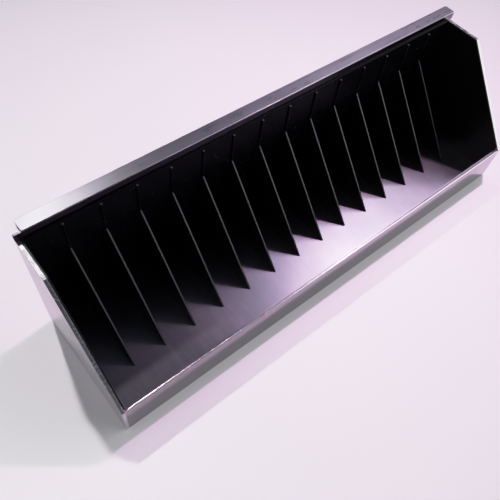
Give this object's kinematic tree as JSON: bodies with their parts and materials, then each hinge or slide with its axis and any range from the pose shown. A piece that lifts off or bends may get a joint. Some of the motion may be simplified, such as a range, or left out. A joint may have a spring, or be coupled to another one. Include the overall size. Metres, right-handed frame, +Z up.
{
  "type": "desktop cassette rack",
  "caption": "Low aluminium rack, open at the front and top, with sloping end panels, thin black dividers and a rail along its back edge.",
  "frame": {"origin": "centre of the base, on the surface that the rack stands on", "axes": "+X along the rack's length to the right seen from its open front, +Y towards the back, +Z up"},
  "size_m": [0.3046, 0.0826, 0.0861],
  "materials": {
    "panel_aluminium": "brushed",
    "tray_aluminium": "brushed",
    "fascia_aluminium": "brushed",
    "rail_aluminium": "polished",
    "cover_aluminium": "brushed",
    "liner_black": "gloss",
    "side_liner_black": "satin",
    "divider_black": "satin",
    "bracket_steel": "zinc plated",
    "rivet_aluminium": "plain"
  },
  "bodies": {
    "root": {"side_panel_left": "panel_aluminium", "side_panel_right": "panel_aluminium", "side_liner_left": "side_liner_black", "side_liner_right": "side_liner_black", "floor_tray": "tray_aluminium", "front_fascia": "fascia_aluminium", "back_panel": "panel_aluminium", "back_liner": "liner_black", "top_rail": "rail_aluminium", "rail_cover": "cover_aluminium", "divider_01": "divider_black", "divider_02": "divider_black", "divider_03": "divider_black", "divider_04": "divider_black", "divider_05": "divider_black", "divider_06": "divider_black", "divider_07": "divider_black", "divider_08": "divider_black", "divider_09": "divider_black", "divider_10": "divider_black", "divider_11": "divider_black", "divider_12": "divider_black", "divider_13": "divider_black", "divider_14": "divider_black", "corner_bracket_front_left": "bracket_steel", "corner_bracket_front_right": "bracket_steel", "corner_bracket_rear_left": "bracket_steel", "corner_bracket_rear_right": "bracket_steel", "bracket_rivets": "rivet_aluminium", "rail_rivets": "rivet_aluminium"}
  },
  "joints": []
}
